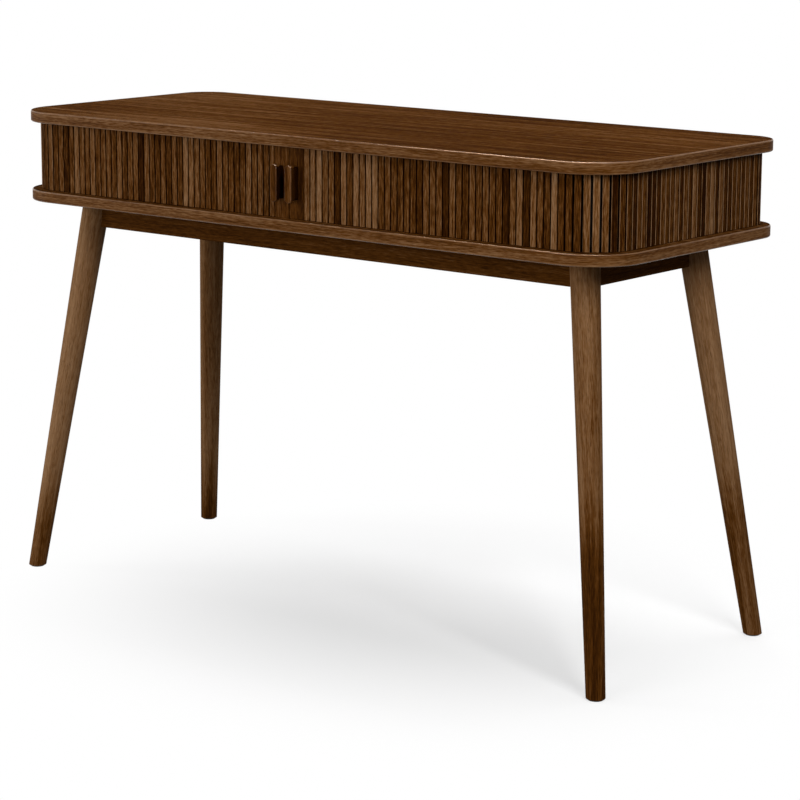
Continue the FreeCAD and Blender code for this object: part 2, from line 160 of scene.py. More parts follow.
class DeskSizes(bpy.types.PropertyGroup):
    """The sizes of the desk's visible pieces."""

    front_corner_radius: length("Front corners", "Radius of the panels' front corners", 0.085)
    rear_corner_radius: length("Rear corners", "Radius of the panels' rear corners", 0.055)
    band_thickness: length("Band", "Thickness of the band round a panel", 0.003)
    arris_radius: length("Arris", "Rounding of a band's outer edges", 0.002)
    groove_width: length("Groove width", "Width of the track's groove", 0.0062)
    groove_depth: length("Groove depth", "Depth of the track's groove", 0.007)
    slat_pitch: length("Slat pitch", "From slat to slat along the track", 0.01215)
    slat_gap: length("Slat gap", "Gap between two slats", 0.0024)
    slat_thickness: length("Slat thickness", "Thickness of a slat", 0.008)
    slat_round: length("Slat edge", "Rounding of a slat's front edges", 0.0008)
    # Below this depth a slat's sides take painted shade for the gaps between slats
    slat_shown: length("Shown side", "How deep a slat's sides keep the tone of its front", 0.00082)
    shoulder_gap: length("Shoulder gap", "Gap above and below a slat's body", 0.001)
    tongue_thickness: length("Tongue", "Thickness of a slat's tongue", 0.005)
    pull_lip: length("Pull lip", "Thickness of a pull's lip", 0.009)
    pull_undercut: length("Pull undercut", "How far the lip overhangs its neck", 0.0035)
    pull_round: length("Pull edge", "Rounding of a pull's lip", 0.0016)
    leg_top_inset_x: length("Leg top inset, side", "From the desk's end to a leg's top", 0.105)
    leg_top_inset_y: length("Leg top inset, front", "From the front to a leg's top", 0.097)
    leg_foot_inset_x: length("Leg foot inset, side", "From the desk's end to a foot", 0.019)
    leg_foot_inset_y: length("Leg foot inset, front", "From the front to a foot", 0.022)
    leg_top_radius: length("Leg top radius", "Radius of a leg under the panel", 0.0226)
    leg_foot_radius: length("Leg foot radius", "Radius of a leg at the floor", 0.0145)
    foot_round: length("Foot edge", "Rounding of a leg's lower edge", 0.0012)
    rail_round: length("Rail edge", "Rounding of a rail's long edges", 0.0012)


class DeskFinish(bpy.types.PropertyGroup):
    """The colours of the desk's timber and fittings, and the painted shade and highlights on the slats and
    legs.
    """

    deep: tint("Deepest", "Darkest streaks of the walnut", (0.007, 0.0017, 0.0002))
    dark: tint("Dark", "Dark streaks of the walnut", (0.027, 0.0082, 0.0010))
    middle: tint("Middle", "The walnut's main colour", (0.066, 0.0225, 0.0032))
    light: tint("Light", "Light streaks of the walnut", (0.126, 0.0585, 0.0215))
    pale: tint("Pale", "Palest streaks of the walnut", (0.205, 0.1140, 0.0560))
    slat_spread: share("Slat variation", "How much the slats differ in tone", 0.10)
    slat_limit: share("Slat limit", "The most that a slat differs in tone", 0.17)
    # Painted highlight on the side slats' rounded front edges
    slat_edge_highlight: share("Slat edges", "How much lighter the side slats' edges are", 0.42)
    # Painted shade on the faces of the slats turned to the side
    slat_turned_shade: share("Turned slats", "How much darker the side slats' faces are", 0.07)
    # Painted shade on the slats' sides deep in the gaps
    slat_side_shade: share("Slat sides", "How much darker the slats' hidden sides are", 0.40)
    # Painted shade on the legs near the floor
    foot_shade: share("Foot shade", "How much darker the legs are near the floor", 0.17)
    seed: bpy.props.IntProperty(name="Seed", description="Draw of the slats' tones", default=9)


class DeskStage(bpy.types.PropertyGroup):
    """The camera, the lamps and the floor."""

    camera_place: bpy.props.FloatVectorProperty(
        name="Camera", description="Where the camera stands", default=(2.7054, -3.3109, 1.2134),
        subtype="XYZ", unit="LENGTH",
    )
    camera_yaw: bpy.props.FloatProperty(
        name="Yaw", description="Turn from +Y, towards -X", default=0.67762, subtype="ANGLE"
    )
    camera_pitch: bpy.props.FloatProperty(
        name="Pitch", description="Tilt, up is positive", default=-0.20323, subtype="ANGLE"
    )
    camera_roll: bpy.props.FloatProperty(
        name="Roll", description="Turn about the view", default=0.004846, subtype="ANGLE"
    )
    focal_pixels: share("Focal length", "Focal length in pixels of the image", 2699.1, 9000.0)
    ambient: share("Ambient", "Strength of the even light from all round", 0.30, 5.0)
    floor_seen: share("Floor", "Paleness of the floor as the camera sees it", 0.82)
    floor_glow: share("Floor glow", "How much of the floor's white takes no shadow", 0.15)
    floor_bounce: share("Floor bounce", "How much light the floor throws back up", 0.15)


# Timber and other finishes


class Finish:
    """A material's node tree, with short calls for the nodes that the finishes share."""

    def __init__(self, name):
        self.material = bpy.data.materials.new(name)
        self.material.use_nodes = True
        self.tree = self.material.node_tree
        self.shader = self.tree.nodes["Principled BSDF"]

    def add(self, kind, **settings):
        """A new node of one kind with its settings."""
        node = self.tree.nodes.new("ShaderNode" + kind)
        for key, value in settings.items():
            setattr(node, key, value)
        return node

    def feed(self, socket, value):
        """Link a socket into another, or write a plain value on it."""
        if isinstance(value, bpy.types.NodeSocket):
            self.tree.links.new(value, socket)
        elif isinstance(value, (tuple, list)) and len(socket.default_value) == 4:
            socket.default_value = (*value[:3], 1.0)
        else:
            socket.default_value = value

    def math(self, operation, first, second=0.0):
        """One step of arithmetic."""
        node = self.add("Math", operation=operation)
        self.feed(node.inputs[0], first)
        self.feed(node.inputs[1], second)
        return node.outputs[0]

    def vector(self, operation, first, second):
        """One step of vector arithmetic."""
        node = self.add("VectorMath", operation=operation)
        self.feed(node.inputs[0], first)
        self.feed(node.inputs[1], second)
        return node.outputs[0]

    def attribute(self, name, output):
        """What a piece stores for its surface under a name."""
        return self.add("Attribute", attribute_name=name).outputs[output]

    def place(self):
        """The place on the object, in metres."""
        return self.add("TexCoord").outputs["Object"]

    def noise(self, vector, stretch, detail=2.0, roughness=0.5):
        """Soft noise, finer along the axes with the larger numbers."""
        node = self.add("TexNoise")
        self.feed(node.inputs["Vector"], self.vector("MULTIPLY", vector, stretch))
        self.feed(node.inputs["Scale"], 1.0)
        self.feed(node.inputs["Detail"], detail)
        self.feed(node.inputs["Roughness"], roughness)
        return node.outputs["Fac"]

    def spread(self, layer, weight):
        """A layer of noise made to swing about 0, by a share of its full range."""
        return self.math("MULTIPLY", self.math("SUBTRACT", layer, 0.5), weight)

    def between(self, value, low, high, to_low=0.0, to_high=1.0):
        """Value run from low..high to to_low..to_high, and held there outside."""
        node = self.add("MapRange", interpolation_type="SMOOTHSTEP")
        for name, number in zip(
            ["Value", "From Min", "From Max", "To Min", "To Max"],
            [value, low, high, to_low, to_high],
        ):
            self.feed(node.inputs[name], number)
        return node.outputs["Result"]

    def ramp(self, value, stops):
        """A colour looked up along a row of stops."""
        node = self.add("ValToRGB")
        elements = node.color_ramp.elements
        while len(elements) < len(stops):
            elements.new(0.5)
        for element, (position, colour) in zip(elements, stops):
            element.position = position
            element.color = (*colour, 1.0)
        self.feed(node.inputs["Fac"], value)
        return node.outputs["Color"]

    def mix(self, factor, first, second):
        """Two colours mixed."""
        node = self.add("Mix", data_type="RGBA")
        self.feed(node.inputs["Factor"], factor)
        # Its seventh and eighth sockets and its third output are the ones for colours
        self.feed(node.inputs[6], first)
        self.feed(node.inputs[7], second)
        return node.outputs[2]

    def set(self, **values):
        """Values or links on the shader's own sockets."""
        for name, value in values.items():
            socket = name.replace("_", " ").title().replace("Ior", "IOR")
            self.feed(self.shader.inputs[socket], value)

    def bump(self, height, distance):
        """Relief on the surface, its full height given in metres."""
        node = self.add("Bump")
        self.feed(node.inputs["Height"], height)
        self.feed(node.inputs["Distance"], distance)
        self.feed(self.shader.inputs["Normal"], node.outputs["Normal"])


# How fine each layer of the walnut's figure is, along the grain and across it
FIGURE = {
    "bend": (1.3, 7.0, 7.0),
    "cloud": (1.6, 3.0, 3.0),
    "broad": (0.9, 26.0, 26.0),
    "streak": (3.2, 170.0, 170.0),
    "fleck": (70.0, 700.0, 700.0),
    "fibre": (18.0, 900.0, 900.0),
    "pore": (60.0, 2200.0, 2200.0),
}
# How far the grain wanders sideways, in metres
GRAIN_BEND = 0.03
# Where each of the walnut's colours stands between darkest and palest
TONE_STOPS = {"deep": 0.18, "dark": 0.38, "middle": 0.50, "light": 0.63, "pale": 0.82}
# Open pores: the noise above which they show, and how much they darken and roughen the timber
PORE_START, PORE_FULL = 0.60, 0.70
PORE_DARK, PORE_ROUGH = 0.55, 0.15
WALNUT_RELIEF = 0.06 * MILLIMETRE


def walnut(name, figure, speck, lift, roughness, specular, cloud=0.0):
    """Satin walnut. Its grain runs along x of what the piece stores as its grain."""
    colours = bpy.context.scene.desk_finish
    finish = Finish(name)
    grain = finish.attribute("grain", "Vector")
    tone = finish.attribute("tone", "Fac")
    wander = finish.spread(finish.noise(grain, FIGURE["bend"]), GRAIN_BEND)
    sideways = finish.add("CombineXYZ")
    finish.feed(sideways.inputs["Y"], wander)
    finish.feed(sideways.inputs["Z"], wander)
    bent = finish.vector("ADD", grain, sideways.outputs["Vector"])
    streak = finish.noise(bent, FIGURE["streak"], 4.0, 0.65)
    fibre = finish.noise(bent, FIGURE["fibre"], 2.0, 0.6)
    # The tone carries each piece's own tone together with its painted shade and highlights
    level = finish.math("ADD", 0.5 + lift, tone)
    layers = [
        (finish.noise(grain, FIGURE["cloud"], 1.0), cloud),
        (finish.noise(bent, FIGURE["broad"], 3.0, 0.6), 0.35 * figure),
        (streak, 0.65 * figure),
        (finish.noise(bent, FIGURE["fleck"], 2.0, 0.6), speck),
        (fibre, 0.7 * speck),
    ]
    for layer, weight in layers:
        level = finish.math("ADD", level, finish.spread(layer, weight))
    stops = [(stop, tuple(getattr(colours, shade))) for shade, stop in TONE_STOPS.items()]
    colour = finish.ramp(level, stops)
    pore = finish.between(finish.noise(bent, FIGURE["pore"], 1.0), PORE_START, PORE_FULL)
    colour = finish.mix(finish.math("MULTIPLY", pore, PORE_DARK), colour, tuple(colours.deep))
    rough = finish.math("ADD", finish.spread(streak, 0.25), roughness)
    rough = finish.math("ADD", rough, finish.math("MULTIPLY", pore, PORE_ROUGH))
    raised = finish.math("MULTIPLY", fibre, 0.35)
    sunk = finish.math("MULTIPLY", pore, 0.9)
    finish.set(base_color=colour, roughness=rough, specular_ior_level=specular)
    finish.bump(finish.math("SUBTRACT", raised, sunk), WALNUT_RELIEF)
    return finish.material


def plain_timber(name, dark, light, stretch):
    """Unstained timber for what lies inside the frame; stretch is small along the grain."""
    finish = Finish(name)
    place = finish.place()
    ring = finish.noise(place, stretch, 3.0, 0.6)
    fine = finish.noise(place, tuple(9.0 * value for value in stretch), 2.0)
    level = finish.math("ADD", finish.math("MULTIPLY", ring, 0.65), finish.math("MULTIPLY", fine, 0.35))
    finish.set(base_color=finish.ramp(level, [(0.38, dark), (0.62, light)]))
    finish.set(roughness=finish.between(fine, 0.3, 0.7, 0.55, 0.72), specular_ior_level=0.3)
    finish.bump(fine, 0.08 * MILLIMETRE)
    return finish.material


def zinc_steel():
    """Bright zinc-plated steel with a faint crystalline bloom."""
    finish = Finish("zinc_plated_steel")
    place = finish.place()
    bloom = finish.noise(place, (420.0, 420.0, 420.0), 3.0, 0.6)
    wear = finish.noise(place, (90.0, 90.0, 90.0), 2.0)
    shine = finish.ramp(bloom, [(0.35, (0.36, 0.37, 0.38)), (0.65, (0.56, 0.57, 0.57))])
    finish.set(base_color=shine, metallic=1.0)
    finish.set(roughness=finish.between(wear, 0.35, 0.65, 0.26, 0.42))
    finish.bump(bloom, 0.02 * MILLIMETRE)
    return finish.material


def glide_plastic():
    """Dark moulded plastic with a fine spark-eroded skin."""
    finish = Finish("glide_nylon")
    skin = finish.noise(finish.place(), (2600.0, 2600.0, 2600.0), 2.0)
    black = finish.ramp(skin, [(0.35, (0.010, 0.008, 0.007)), (0.65, (0.022, 0.018, 0.016))])
    finish.set(base_color=black)
    finish.set(roughness=finish.between(skin, 0.3, 0.7, 0.42, 0.55))
    finish.bump(skin, 0.03 * MILLIMETRE)
    return finish.material


def curtain_canvas():
    """Dark woven canvas: two crossing sets of threads."""
    finish = Finish("curtain_cotton")
    place = finish.place()
    parts = finish.add("SeparateXYZ")
    finish.feed(parts.inputs[0], place)
    across = finish.math("ADD", parts.outputs["X"], parts.outputs["Y"])
    thread = 0.8 * MILLIMETRE
    turns = 2.0 * math.pi / thread
    warp = finish.math("SINE", finish.math("MULTIPLY", across, turns))
    weft = finish.math("SINE", finish.math("MULTIPLY", parts.outputs["Z"], turns))
    weave = finish.math("MULTIPLY", warp, weft)
    slub = finish.noise(place, (300.0, 300.0, 40.0), 2.0)
    level = finish.math("ADD", finish.math("MULTIPLY", weave, 0.25), slub)
    cotton = finish.ramp(level, [(0.3, (0.006, 0.004, 0.003)), (0.75, (0.020, 0.014, 0.010))])
    finish.set(base_color=cotton)
    finish.set(roughness=finish.between(slub, 0.3, 0.7, 0.82, 0.95), specular_ior_level=0.2)
    finish.bump(weave, 0.15 * MILLIMETRE)
    return finish.material


# Each walnut's streaks, fine specks, lift towards the pale end, roughness, shine and wide soft clouds
WALNUTS = {
    "walnut_top": dict(figure=1.1, speck=0.5, lift=-0.008, roughness=0.6, specular=0.0003, cloud=0.34),
    "walnut_band": dict(figure=0.7, speck=0.45, lift=0.052, roughness=0.42, specular=0.012),
    # The arrises' extra lift is a painted highlight, on top of their real gloss
    "walnut_arris": dict(figure=0.5, speck=0.3, lift=0.13, roughness=0.22, specular=0.11),
    "walnut_curtain": dict(figure=0.65, speck=0.68, lift=0.01, roughness=0.5, specular=0.002),
    "walnut_stile": dict(figure=0.6, speck=0.45, lift=-0.025, roughness=0.42, specular=0.004),
    "walnut_pull": dict(figure=0.5, speck=0.35, lift=0.0, roughness=0.22, specular=0.12),
    "walnut_leg": dict(figure=0.75, speck=0.36, lift=0.128, roughness=0.5, specular=0.005),
    "walnut_rail": dict(figure=0.45, speck=0.3, lift=-0.025, roughness=0.55, specular=0.003),
    "walnut_inner": dict(figure=0.8, speck=0.45, lift=-0.02, roughness=0.6, specular=0.05),
}
# Each plain timber's dark and light colour, and how fine it is along x, y and z
PLAIN_TIMBERS = {
    "rubberwood": ((0.30, 0.17, 0.075), (0.46, 0.29, 0.15), (25.0, 25.0, 140.0)),
    "beech": ((0.40, 0.25, 0.13), (0.56, 0.38, 0.22), (220.0, 220.0, 30.0)),
}
OTHER_FINISHES = {
    "zinc_steel": zinc_steel,
    "glide_plastic": glide_plastic,
    "curtain_canvas": curtain_canvas,
}
made_finishes = {}


def finish_named(name):
    """One finish, made the first time that a piece asks for it."""
    if name not in made_finishes:
        if name in WALNUTS:
            made_finishes[name] = walnut(name, **WALNUTS[name])
        elif name in PLAIN_TIMBERS:
            made_finishes[name] = plain_timber(name, *PLAIN_TIMBERS[name])
        else:
            made_finishes[name] = OTHER_FINISHES[name]()
    return made_finishes[name]


# Shared modelling


def new_mesh():
    """An empty mesh that can store its grain and tone, where the tone also carries painted shade and
    painted highlights.
    """
    bm = bmesh.new()
    bm.loops.layers.float_vector.new("grain")
    bm.loops.layers.float.new("tone")
    return bm


def lay_grain(bm, faces, place, tone=0.0):
    """Store where each corner of the faces lies in the timber: x runs along the grain."""
    grain_layer = bm.loops.layers.float_vector["grain"]
    tone_layer = bm.loops.layers.float["tone"]
    for face in faces:
        for loop in face.loops:
            loop[grain_layer] = place(loop.vert.co)
            loop[tone_layer] = tone


def along_x(co):
    """Grain along the desk."""
    return Vector((co.x, co.y, co.z))


def along_y(co):
    """Grain from front to back."""
    return Vector((co.y, co.z, co.x))


def along_z(co):
    """Upright grain."""
    return Vector((co.z, co.x, co.y))


def add_box(bm, low, high):
    """A box between two corners; its new vertices are returned."""
    low, high = Vector(low), Vector(high)
    matrix = Matrix.LocRotScale((low + high) / 2, None, high - low)
    return bmesh.ops.create_cube(bm, size=1.0, matrix=matrix)["verts"]


def round_edges(bm, edges, radius, segments):
    """Round a set of edges."""
    bmesh.ops.bevel(
        bm, geom=edges, offset=radius, segments=segments, profile=0.5, affect="EDGES", material=-1
    )


def push(bm, faces, offset):
    """Extrude faces by an offset; the moved faces are returned."""
    pushed = bmesh.ops.extrude_face_region(bm, geom=faces)["geom"]
    verts = [item for item in pushed if isinstance(item, bmesh.types.BMVert)]
    bmesh.ops.translate(bm, verts=verts, vec=offset)
    return [item for item in pushed if isinstance(item, bmesh.types.BMFace)]


def split_level(bm, z):
    """Divide every face that a level plane crosses."""
    bmesh.ops.bisect_plane(
        bm, geom=[*bm.verts, *bm.edges, *bm.faces], plane_co=(0, 0, z), plane_no=(0, 0, 1)
    )


def cut_level(bm, z, outward):
    """Cut a piece off level, above or below, and close it; the rim's edges are returned."""
    cut = bmesh.ops.bisect_plane(
        bm, geom=[*bm.verts, *bm.edges, *bm.faces], plane_co=(0, 0, z), plane_no=(0, 0, outward),
        clear_outer=True,
    )["geom_cut"]
    rim = [item for item in cut if isinstance(item, bmesh.types.BMEdge)]
    bmesh.ops.contextual_create(bm, geom=rim)
    return rim


def is_level(edge):
    """Whether both ends of an edge are equally high."""
    return abs(edge.verts[0].co.z - edge.verts[1].co.z) < NEAR


def round_rectangle(bm, z, half_x, half_y, front_radius, rear_radius, segments):
    """The first face of a mesh: level, with round corners."""
    matrix = Matrix.LocRotScale(Vector((0, 0, z)), None, Vector((half_x, half_y, 1.0)))
    verts = bmesh.ops.create_grid(bm, x_segments=1, y_segments=1, size=1.0, matrix=matrix)["verts"]
    front = [vert for vert in verts if vert.co.y < 0]
    rear = [vert for vert in verts if vert.co.y > 0]
    for corners, radius in [(front, front_radius), (rear, rear_radius)]:
        bmesh.ops.bevel(
            bm, geom=corners, offset=radius, segments=segments, profile=0.5, affect="VERTICES", material=-1
        )
    bm.faces.ensure_lookup_table()
    return bm.faces[0]


def finish_piece(bm, name, finishes, replaced, body="carcase"):
    """Turn a mesh into a piece that rides on its body."""
    mesh = bpy.data.meshes.new(name)
    bmesh.ops.recalc_face_normals(bm, faces=bm.faces)
    bm.to_mesh(mesh)
    bm.free()
    for finish in finishes:
        mesh.materials.append(finish_named(finish))
    mesh.shade_smooth()
    mesh.set_sharp_from_angle(angle=SHARP_ANGLE)
    piece = bpy.data.objects.new(name, mesh)
    bpy.context.scene.collection.objects.link(piece)
    weighting = piece.modifiers.new("even_flats", "WEIGHTED_NORMAL")
    weighting.keep_sharp = True
    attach(piece, body)
    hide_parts(*replaced)
    return piece


def dressed_copy(node, finish, place, body="carcase", cut=0.0, tone=0.0):
    """A CAD node's own shape as a merged mesh, with its grain."""
    bm = new_mesh()
    bm.from_mesh(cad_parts[node].data)
    bmesh.ops.remove_doubles(bm, verts=bm.verts, dist=0.1 * NEAR)
    shift = Vector((cut, cut, cut))
    lay_grain(bm, bm.faces, lambda co: place(co) + shift, tone)
    return finish_piece(bm, node + "_dressed", [finish], [node], body)


def refinish(nodes, finish):
    """Give CAD nodes that keep their shape a better finish."""
    for node in nodes:
        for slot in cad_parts[node].material_slots:
            slot.material = finish_named(finish)


# Panels


def corner_radius(y):
    """The radius of the desk's corners in front of or behind its middle."""
    sizes = bpy.context.scene.desk_sizes
    return sizes.front_corner_radius if y < 0 else sizes.rear_corner_radius


def edge_distance(co):
    """How far a point lies inside the desk's round-cornered outline."""
    radius = corner_radius(co.y)
    over_x = abs(co.x) - (HALF_WIDTH - radius)
    over_y = abs(co.y) - (HALF_DEPTH - radius)
    if over_x > 0 and over_y > 0:
        return radius - math.hypot(over_x, over_y)
    return min(HALF_WIDTH - abs(co.x), HALF_DEPTH - abs(co.y))


def quarter_length(radius):
    """The length of one quarter of the desk's outline, which has one round corner."""
    return HALF_WIDTH + HALF_DEPTH - (2 - math.pi / 2) * radius


def perimeter_place(co, side):
    """How far round the desk a point lies from the middle of the front: below 0 on the left side."""
    radius = corner_radius(co.y)
    run_x, run_y = HALF_WIDTH - radius, HALF_DEPTH - radius
    x, y = abs(co.x), abs(co.y)
    if x > run_x and y > run_y:
        quarter = run_x + radius * math.atan2(x - run_x, y - run_y)
    elif HALF_DEPTH - y < HALF_WIDTH - x:
        quarter = x
    else:
        quarter = run_x + radius * math.pi / 2 + run_y - y
    if co.y < 0:
        return side * quarter
    half = quarter_length(corner_radius(-1)) + quarter_length(radius)
    return side * (half - quarter)


def add_outline(bm, inset, z):
    """A level face with the desk's outline, set in by the same distance all round."""
    front, rear = corner_radius(-1) - inset, corner_radius(1) - inset
    return round_rectangle(bm, z, HALF_WIDTH - inset, HALF_DEPTH - inset, front, rear, CORNER_STEPS)


def panel(name, node, low, high, groove_up, cut):
    """A panel inside its band, with the track's groove in one face."""
    sizes = bpy.context.scene.desk_sizes
    bm = new_mesh()
    near, far = (high, low) if groove_up else (low, high)
    face = add_outline(bm, sizes.band_thickness, far)
    push(bm, [face], (0, 0, near - far))
    grooved = next(item for item in bm.faces if abs(item.calc_center_median().z - near) < NEAR)
    tongue_inset = (sizes.slat_thickness - sizes.groove_width) / 2
    outer = CURTAIN_INSET + tongue_inset - sizes.band_thickness
    bmesh.ops.inset_individual(bm, faces=[grooved], thickness=outer, use_even_offset=True)
    ring = bmesh.ops.inset_individual(
        bm, faces=[grooved], thickness=sizes.groove_width, use_even_offset=True
    )["faces"]
    push(bm, ring, (0, 0, sizes.groove_depth * (-1 if groove_up else 1)))
    shift = Vector((cut, cut, 0))
    lay_grain(bm, bm.faces, lambda co: along_x(co) + shift)
    return finish_piece(bm, name, ["walnut_top"], [node])


def band(name, node, low, high, cut):
    """The band round a panel. Its level faces carry on the panel's grain."""
    sizes = bpy.context.scene.desk_sizes
    bm = new_mesh()
    face = add_outline(bm, 0.0, low)
    ring = bmesh.ops.inset_individual(
        bm, faces=[face], thickness=sizes.band_thickness, use_even_offset=True
    )["faces"]
    bmesh.ops.delete(bm, geom=[face], context="FACES_ONLY")
    push(bm, ring, (0, 0, high - low))
    bmesh.ops.recalc_face_normals(bm, faces=bm.faces)
    outside = sizes.band_thickness / 2
    outer = [
        edge for edge in bm.edges
        if is_level(edge) and all(edge_distance(vert.co) < outside for vert in edge.verts)
    ]
    round_edges(bm, outer, sizes.arris_radius, RIM_STEPS)
    # The grain runs away from the middle both ways, so no face may cross it
    bmesh.ops.bisect_plane(
        bm, geom=[*bm.verts, *bm.edges, *bm.faces], plane_co=(0, 0, 0), plane_no=(1, 0, 0)
    )
    bm.normal_update()
    shift = Vector((cut, cut, 0))
    for face in bm.faces:
        rise = abs(face.normal.z)
        if rise > SQUARE_ON:
            face.material_index = 1
            lay_grain(bm, [face], lambda co: along_x(co) + shift)
            continue
        # The rounded arrises take the finish with the painted highlight
        if rise > 1 - SQUARE_ON:
            face.material_index = 2
        side = 1 if face.calc_center_median().x > 0 else -1
        lay_grain(bm, [face], lambda co, side=side: Vector((perimeter_place(co, side), co.z, cut)))
    finishes = ["walnut_band", "walnut_top", "walnut_arris"]
    return finish_piece(bm, name, finishes, [node])


class DESK_OT_top(bpy.types.Operator):
    """Build the top panel and its band"""

    bl_idname = "desk.top"
    bl_label = "Top"

    def execute(self, context):
        panel("top_panel_walnut", "top_panel", TOP_LOW, TOP_HIGH, False, TOP_CUT)
        band("top_band_walnut", "top_edge_band", TOP_LOW, TOP_HIGH, TOP_CUT)
        return {"FINISHED"}


class DESK_OT_shelf(bpy.types.Operator):
    """Build the lower panel and its band"""

    bl_idname = "desk.shelf"
    bl_label = "Lower panel"

    def execute(self, context):
        panel("bottom_panel_walnut", "bottom_panel", SHELF_LOW, SHELF_HIGH, True, SHELF_CUT)
        band("bottom_band_walnut", "bottom_edge_band", SHELF_LOW, SHELF_HIGH, SHELF_CUT)
        return {"FINISHED"}


# The curtains


def slat_mesh(width):
    """One slat at the origin, its outer face on y = 0, as a mesh to be copied."""
    sizes = bpy.context.scene.desk_sizes
    body_low = SHELF_HIGH + sizes.shoulder_gap
    body_high = TOP_LOW - sizes.shoulder_gap
    bm = bmesh.new()
    add_box(bm, (-width / 2, 0, body_low), (width / 2, sizes.slat_thickness, body_high))
    front = [edge for edge in bm.edges if all(vert.co.y < NEAR for vert in edge.verts)]
    round_edges(bm, [edge for edge in front if not is_level(edge)], sizes.slat_round, EDGE_STEPS)
    # Split the sides at the depth where their painted shade begins
    bmesh.ops.bisect_plane(
        bm, geom=[*bm.verts, *bm.edges, *bm.faces], plane_co=(0, sizes.slat_shown, 0), plane_no=(0, 1, 0)
    )
    inset = (sizes.slat_thickness - sizes.tongue_thickness) / 2
    for low, high in [(SLAT_LOW, body_low), (body_high, SLAT_HIGH)]:
        add_box(bm, (-width / 2, inset, low), (width / 2, inset + sizes.tongue_thickness, high))
    mesh = bpy.data.meshes.new("slat_pattern")
    bm.to_mesh(mesh)
    bm.free()
    return mesh


def straight_places(first, last, point):
    """The slats' places along one stretch: x, y and the turn of each."""
    count = round((last - first) / bpy.context.scene.desk_sizes.slat_pitch)
    step = (last - first) / count
    return [point(first + (index + 0.5) * step) for index in range(count)]


def corner_places(y_side, first_angle):
    """The slats' places round one right-hand corner, over a quarter turn."""
    sizes = bpy.context.scene.desk_sizes
    radius = corner_radius(y_side)
    centre_x, centre_y = HALF_WIDTH - radius, y_side * (HALF_DEPTH - radius)
    run_radius = radius - CURTAIN_INSET
    quarter = (run_radius - sizes.slat_thickness) * math.pi / 2

    def point(distance):
        angle = first_angle + distance / quarter * math.pi / 2
        x = centre_x + run_radius * math.sin(angle)
        return x, centre_y - run_radius * math.cos(angle), angle

    return straight_places(0, quarter, point)


def slat_run(name, node, width, places, draw):
    """One stretch of slats, each with its own cut of timber and tone, painted shade on its sides and
    turned faces, and painted highlights on its edges.
    """
    finish = bpy.context.scene.desk_finish
    shown = bpy.context.scene.desk_sizes.slat_shown
    pattern = slat_mesh(width)
    bm = new_mesh()
    for x, y, turn in places:
        vert_count = len(bm.verts)
        face_count = len(bm.faces)
        bm.from_mesh(pattern)
        bm.verts.ensure_lookup_table()
        bm.faces.ensure_lookup_table()
        shift = Vector([draw.uniform(0, reach) for reach in SLAT_TIMBER])
        tone = max(-finish.slat_limit, min(finish.slat_limit, draw.gauss(0, finish.slat_spread)))
        turned = math.sin(abs(turn))
        for face in bm.faces[face_count:]:
            # Painted shade on the faces of the slats turned to the side; the fourth power keeps the round
            # corners' faces as pale as the front's
            shade = -finish.slat_turned_shade * turned ** 4
            # The sides deep in a gap take painted shade
            if face.calc_center_median().y > shown:
                shade = -finish.slat_side_shade
            # The rounded front edges of the side slats take a painted highlight
            elif face.normal.y > -FACE_ON:
                shade = finish.slat_edge_highlight * turned
            lay_grain(bm, [face], lambda co, shift=shift: along_z(co) + shift, tone + shade)
        lean = turn + math.radians(draw.uniform(-SLAT_LEAN, SLAT_LEAN))
        matrix = Matrix.Translation((x, y, 0)) @ Matrix.Rotation(lean, 4, "Z")
        bmesh.ops.transform(bm, matrix=matrix, verts=bm.verts[vert_count:])
    bpy.data.meshes.remove(pattern)
    return finish_piece(bm, name, ["walnut_curtain"], [node])


class DESK_OT_curtains(bpy.types.Operator):
    """Build both curtains"""

    bl_idname = "desk.curtains"
    bl_label = "Curtains"

    def execute(self, context):
        sizes = context.scene.desk_sizes
        front_x = HALF_WIDTH - sizes.front_corner_radius
        front_y = sizes.front_corner_radius - HALF_DEPTH
        rear_x = HALF_WIDTH - sizes.rear_corner_radius
        rear_y = HALF_DEPTH - sizes.rear_corner_radius
        curtain_x = HALF_WIDTH - CURTAIN_INSET
        width = sizes.slat_pitch - sizes.slat_gap
        tail_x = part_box("right_rear_corner_slats")[0].x - sizes.slat_gap / 2
        quarter_turn = math.pi / 2
        runs = {
            "front_slats": straight_places(RUN_START, front_x, lambda x: (x, -CURTAIN_Y, 0)),
            "front_corner_slats": corner_places(-1, 0),
            "side_slats": straight_places(front_y, rear_y, lambda y: (curtain_x, y, quarter_turn)),
            "rear_corner_slats": corner_places(1, quarter_turn)
            + straight_places(tail_x, rear_x, lambda x: (x, CURTAIN_Y, math.pi)),
        }
        for side, sign in SIDES.items():
            draw = random.Random(context.scene.desk_finish.seed + sign)
            for run, places in runs.items():
                node = side + "_" + run
                turned = [(sign * x, y, sign * turn) for x, y, turn in places]
                piece = slat_run(node + "_walnut", node, width, turned, draw)
                if run == "front_slats":
                    fold(piece, side, sign)
            canvas = dressed_copy(side + "_front_canvas", "curtain_canvas", along_z)
            fold(canvas, side, sign)
        refinish(["left_side_canvas", "right_side_canvas"], "curtain_canvas")
        return {"FINISHED"}


def fold(piece, side, sign):
    """Give a front run its own copy of its mesh."""
    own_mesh(piece)


# Lead stiles and pulls


